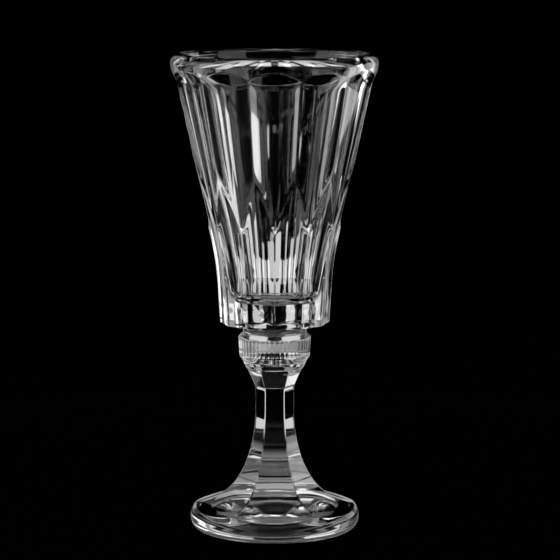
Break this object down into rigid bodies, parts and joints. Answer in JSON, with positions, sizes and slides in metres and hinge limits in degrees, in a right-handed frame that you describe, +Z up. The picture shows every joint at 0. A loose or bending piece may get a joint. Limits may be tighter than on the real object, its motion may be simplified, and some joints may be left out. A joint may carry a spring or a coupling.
{
  "type": "stemmed glass",
  "caption": "Tall cut-crystal stemmed glass with a panelled trumpet bowl, a ribbed knop, a six-sided stem and a thick round foot.",
  "frame": {"origin": "centre of the foot's resting face, on the glass's axis", "axes": "+Z up along the stem; a panel of the bowl and a flat of the stem face -Y"},
  "size_m": [0.078, 0.078, 0.18],
  "materials": {
    "crystal": "clear polished lead crystal"
  },
  "bodies": {
    "root": {"bowl": "crystal", "collar": "crystal", "knop": "crystal", "stem": "crystal", "foot": "crystal"}
  },
  "joints": []
}
